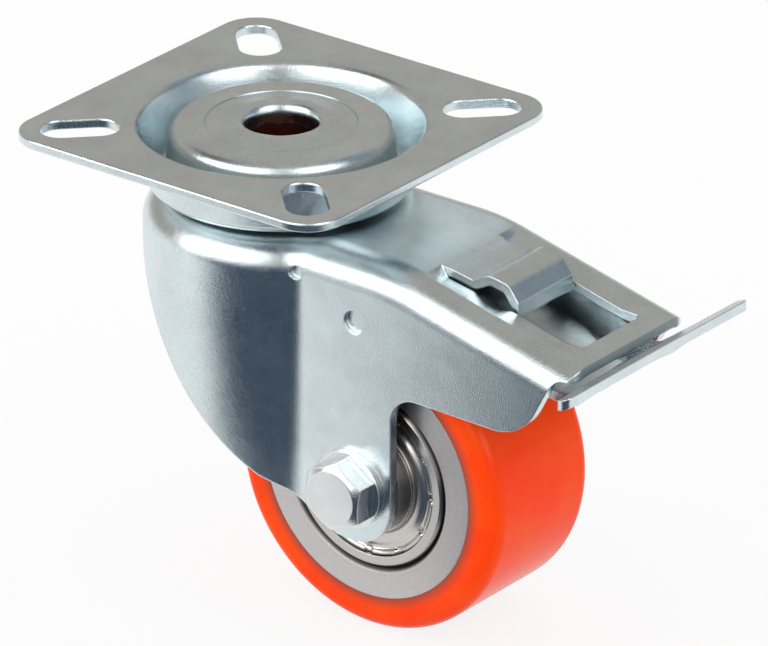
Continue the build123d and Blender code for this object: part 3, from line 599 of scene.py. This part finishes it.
# %% [markdown]
# The bolt's end stands out of the lock nut, with its thread in the open. A thread is a ridge wound
# on a cylinder. It is built here as one ribbon of four points, up one flank, over the narrow crest
# and down the other flank. The ribbon is carried round the axle while it moves along it by one pitch
# a turn. At both ends it rises from the bolt in a third of a turn, and below it is the bolt itself.
# The radii are in millimetres, and the half widths of ridge and crest are shares of the pitch.
# %% Bolt thread
thread_pitch = 1.5
thread_steps = 48
thread_foot = 4.9
thread_crest = 5.2
half_ridge = 0.45
half_crest = 0.08
ridge_rise = 3
bolt_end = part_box("axle_bolt")[1].y
nut_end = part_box("lock_nut")[1].y


def make_thread(name, start, end):
    """Winds a ridge on the bolt, between two distances along the axle, in metres."""
    turns = (end - start) / MM / thread_pitch - 1.0
    points, faces = [], []
    steps = int(turns * thread_steps)
    for step in range(steps + 1):
        angle = tau * step / thread_steps
        from_start, to_end = step / thread_steps, (steps - step) / thread_steps
        rise = min(1.0, from_start * ridge_rise, to_end * ridge_rise)
        crest = thread_foot + (thread_crest - thread_foot) * rise
        along = start / MM + thread_pitch * (from_start + 0.5)
        rising = ((thread_foot, -half_ridge), (crest, -half_crest))
        profile = (*rising, (crest, half_crest), (thread_foot, half_ridge))
        for radius, shift in profile:
            offset = Vector((radius * sin(angle), along + thread_pitch * shift, radius * cos(angle)))
            points.append(Vector((axle.x, 0.0, axle.z)) + offset * MM)
        if step:
            here = len(profile) * step
            faces += [(here + i, here + i + 1, here + i - 3, here + i - 4) for i in range(3)]
    return make_object(name, points, faces, zinc_bolt)


thread = make_thread("bolt_thread", nut_end, bolt_end)
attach(thread, "fork")

# %% [markdown]
# The studio: a pale floor that the castor stands on, which runs far enough to be the background
# too. A floor lit to exactly white would need more light than the castor should have, so the floor
# carries most of its white itself, for the camera and for reflections alike, and keeps a faint
# share of real shading for the shadow. Seen from below it is clear, so the underside can be looked at.
# %% Floor
floor_reach = 4.0
own_white_share = 0.86


def start_bare(name):
    """Starts a material with only its output in it: returns it, its tree and that output."""
    material = bpy.data.materials.new(name)
    material.use_nodes = True
    tree = material.node_tree
    tree.nodes.clear()
    return material, tree, tree.nodes.new("ShaderNodeOutputMaterial")


def make_floor_finish():
    material, tree, out = start_bare("Studio floor")
    paths = put(tree, "ShaderNodeLightPath").outputs
    seen = maths(tree, "MAXIMUM", paths["Is Camera Ray"], paths["Is Glossy Ray"])
    seen = maths(tree, "MAXIMUM", seen, paths["Is Transmission Ray"])
    shade = put(tree, "ShaderNodeBsdfDiffuse", {"Color": (0.8, 0.8, 0.8, 1.0)})
    white = put(tree, "ShaderNodeEmission", {"Color": (1.0, 1.0, 1.0, 1.0), "Strength": 1.0})
    share = maths(tree, "MULTIPLY", seen, own_white_share)
    mixed = put(tree, "ShaderNodeMixShader", {0: share, 1: shade.outputs[0], 2: white.outputs[0]})
    clear = put(tree, "ShaderNodeBsdfTransparent")
    behind = put(tree, "ShaderNodeNewGeometry").outputs["Backfacing"]
    both = put(tree, "ShaderNodeMixShader", {0: behind, 1: mixed.outputs[0], 2: clear.outputs[0]})
    join(tree, out, {"Surface": both.outputs[0]})
    return material


def make_sheet(name, corners, material):
    """A flat stage piece through the given corners."""
    made = make_object(name, corners, [tuple(range(len(corners)))], material)
    made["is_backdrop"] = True
    return made


floor_signs = ((-1, -1), (1, -1), (1, 1), (-1, 1))
floor_corners = [(x * floor_reach, y * floor_reach, floor_height) for x, y in floor_signs]
make_sheet("floor", floor_corners, make_floor_finish())

# %% [markdown]
# Polished metal shows what stands round it more than what shines on it, so a castor is lit by
# placing bright and dark surfaces where its faces look. Most are cards: flat sheets that glow
# evenly, show in reflections only, and neither light the castor nor shade it. A card's corners are
# bearings from the castor, because a reflection is a direction. One softbox is a real lamp.
# %% Helpers for the studio
camera_azimuth = radians(37.758)
camera_elevation = radians(24.516)
aim = Vector((27.3 * MM, 5.7 * MM, -49.6 * MM))


def from_bearing(azimuth, elevation, distance):
    """A place seen from the castor: azimuth 0 is towards -Y, and it grows towards +X."""
    flat = distance * cos(elevation)
    return Vector((flat * sin(azimuth), -flat * cos(azimuth), distance * sin(elevation)))


def add_softbox(name, azimuth, elevation, distance, width, height, power):
    """A rectangular lamp that faces the castor, with its width and height as angles in degrees."""
    lamp = bpy.data.lights.new(name, "AREA")
    lamp.shape = "RECTANGLE"
    lamp.size = 2 * distance * tan(radians(width / 2))
    lamp.size_y = 2 * distance * tan(radians(height / 2))
    lamp.energy = power
    made = bpy.data.objects.new(name, lamp)
    bpy.context.scene.collection.objects.link(made)
    made.location = from_bearing(radians(azimuth), radians(elevation), distance) + aim
    made.rotation_euler = (aim - made.location).to_track_quat("-Z", "Y").to_euler()
    return made


def add_reflected_sheet(name, corners, shade):
    """A glowing sheet that shows in reflections only."""
    material, tree, out = start_bare(name)
    glow = put(tree, "ShaderNodeEmission", {"Color": (*shade, 1.0), "Strength": 1.0})
    join(tree, out, {"Surface": glow.outputs[0]})
    made = make_sheet(name, corners, material)
    made.visible_camera = False
    made.visible_diffuse = False
    made.visible_shadow = False
    made.visible_transmission = False


def add_card(name, bearings, distance, shade):
    """A card whose corners are bearings from the castor: azimuth and elevation in degrees."""
    corners = []
    for azimuth, elevation in bearings:
        place = from_bearing(radians(azimuth), radians(elevation), distance) + aim
        corners.append(tuple(place))
    add_reflected_sheet(name, corners, shade)


def add_floor_card(name, corners, shade):
    """A card that lies on the floor, with its corners in millimetres."""
    height = floor_height + 0.5 * MM
    add_reflected_sheet(name, [(x * MM, y * MM, height) for x, y in corners], shade)


print("Helpers for the studio: from_bearing, add_softbox, add_card, add_floor_card")

# %% [markdown]
# Two white screens, on the left and in front, and a softbox before them make the bright bands
# along the fork's folds. A third is mirrored in the faces that look to the right. A dark card high
# on the left draws the dark line beside those bands. The blue grey card at the right rear is what
# the walls of the roof's window show, and the dark card on the floor shows in the hollow of the
# fork's side.
# %% Screens, cards and softbox
screen_distance = 1.4
dark_card_distance = 1.2
white = (2.6, 2.65, 2.7)
blue_grey = (0.22, 0.27, 0.32)
dark_grey = (0.10, 0.11, 0.12)
dark_blue = (0.06, 0.085, 0.12)

key = add_softbox(
    "key_softbox", azimuth=-40, elevation=23, distance=1.3, width=13, height=34, power=2.5
)
screens = {
    "left_screen": (((-43, 4), (-20, 4), (-20, 46), (-43, 38)), white),
    "left_screen_wing": (((-20, 4), (22, 6), (24, 56), (-20, 46)), white),
    "right_screen": (((58, 8), (100, 8), (100, 52), (54, 54)), white),
    "blue_card_right": (((102, 6), (150, 6), (150, 60), (102, 60)), blue_grey),
}
for name, (bearings, shade) in screens.items():
    add_card(name, bearings, screen_distance, shade)
dark_bearings = ((-90, 38), (-46, 40), (-40, 60), (-90, 60))
add_card("dark_card_above", dark_bearings, dark_card_distance, dark_grey)
dark_floor_corners = ((60, -38), (-667, -975), (900, -975), (420, -38))
add_floor_card("dark_floor_card", dark_floor_corners, dark_blue)
print("Softbox at", [round(v, 2) for v in key.location])

# %% [markdown]
# The world is a warm grey room. Metal sees it as it is. Soft surfaces such as the orange tyre, which
# have next to no mirror in them, get an even white light instead, at which a colour shows about as
# it was mixed. Light Path tells the two apart.
# %% World
world = bpy.data.worlds.new("Studio")
bpy.context.scene.world = world
world.use_nodes = True
sky = world.node_tree
room = sky.nodes["Background"]
room.inputs["Color"].default_value = (0.465, 0.43, 0.395, 1.0)
even = put(sky, "ShaderNodeBackground", {"Color": (1.0, 1.0, 1.0, 1.0), "Strength": 1.1})
diffuse = put(sky, "ShaderNodeLightPath").outputs["Is Diffuse Ray"]
mixed_light = put(sky, "ShaderNodeMixShader", {0: diffuse, 1: room.outputs[0], 2: even.outputs[0]})
join(sky, sky.nodes["World Output"], {"Surface": mixed_light.outputs[0]})
print("World:", world.name)

# %% [markdown]
# The camera stands well back with a long lens, so that the plate's far corner hardly shrinks. It
# looks down at the castor from the right front.
# %% Camera
camera_distance = 2.285
camera_data = bpy.data.cameras.new("camera")
camera_data.lens = 436.6
camera_data.sensor_width = 36.0
camera_data.clip_start = 0.05
camera_data.clip_end = 50.0
camera = bpy.data.objects.new("camera", camera_data)
camera.location = aim + from_bearing(camera_azimuth, camera_elevation, camera_distance)
camera.rotation_euler = (pi / 2 - camera_elevation, 0.0, camera_azimuth)
bpy.context.scene.collection.objects.link(camera)
bpy.context.scene.camera = camera
bpy.context.scene.view_settings.view_transform = "Standard"
print("Camera at", [round(v, 3) for v in camera.location])

# %% [markdown]
# What was added must not make the castor bigger. The box of all that shows, leaving out the stage
# pieces, is printed by its lowest and highest corners.
# %% Sizes, and the end
shown_low, shown_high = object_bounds()
for label, corner in (("Lowest", shown_low), ("Highest", shown_high)):
    print(label, "corner shown:", [round(v / MM, 1) for v in corner], "mm")
